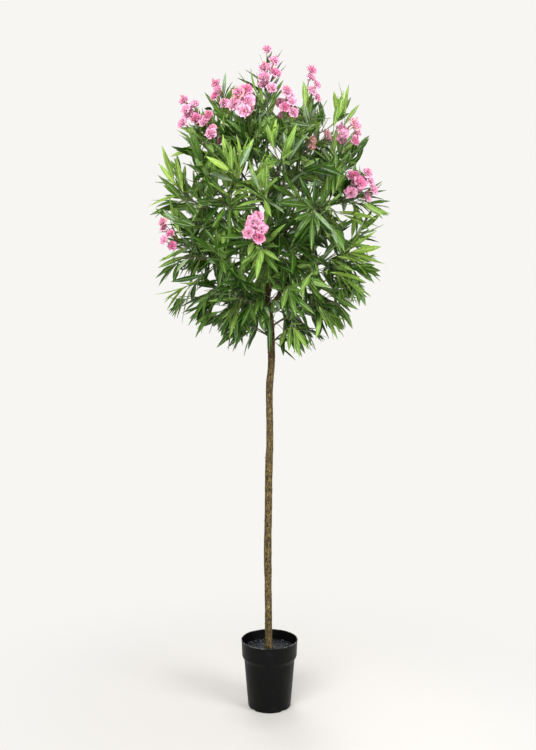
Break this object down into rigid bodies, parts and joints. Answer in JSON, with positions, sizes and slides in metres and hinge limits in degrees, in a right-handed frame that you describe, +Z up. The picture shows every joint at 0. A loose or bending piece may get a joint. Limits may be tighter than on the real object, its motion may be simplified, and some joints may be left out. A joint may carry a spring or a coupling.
{
  "type": "artificial potted oleander tree",
  "caption": "Slender standard tree in a plastic nursery pot: knobbly bare stem and a full egg-shaped crown of narrow leaves with clusters of blossom.",
  "frame": {"origin": "middle of the pot's flat underside, on the ground", "axes": "+Z up along the stem, front of the plant towards -Y, +X to the right seen from the front"},
  "size_m": [0.7904, 0.7793, 2.2985],
  "materials": {
    "pot_plastic": "satin",
    "filling": "matte",
    "bark": "matte",
    "foliage": "satin"
  },
  "bodies": {
    "root": {"bough_back_left": "bark", "bough_back_right": "bark", "bough_front_left": "bark", "bough_front_right": "bark", "bough_high_back": "bark", "bough_high_left": "bark", "bough_high_right": "bark", "bough_left_high": "bark", "bough_right_high": "bark", "bough_shoulder_back": "bark", "bough_shoulder_left": "bark", "bough_shoulder_right": "bark", "filling": "filling", "foliage_back_left": "foliage", "foliage_back_low": "foliage", "foliage_back_middle": "foliage", "foliage_back_right": "foliage", "foliage_crown_top": "foliage", "foliage_front_left": "foliage", "foliage_front_low": "foliage", "foliage_front_middle": "foliage", "foliage_front_right": "foliage", "foliage_high_back": "foliage", "foliage_high_front": "foliage", "foliage_high_front_right": "foliage", "foliage_high_left": "foliage", "foliage_high_right": "foliage", "foliage_left_high": "foliage", "foliage_left_low": "foliage", "foliage_left_middle": "foliage", "foliage_lowest_left": "foliage", "foliage_lowest_right": "foliage", "foliage_right_high": "foliage", "foliage_right_low": "foliage", "foliage_right_middle": "foliage", "foliage_shoulder_back": "foliage", "foliage_shoulder_front": "foliage", "foliage_shoulder_left": "foliage", "foliage_shoulder_right": "foliage", "pot": "pot_plastic", "trunk": "bark"}
  },
  "joints": []
}
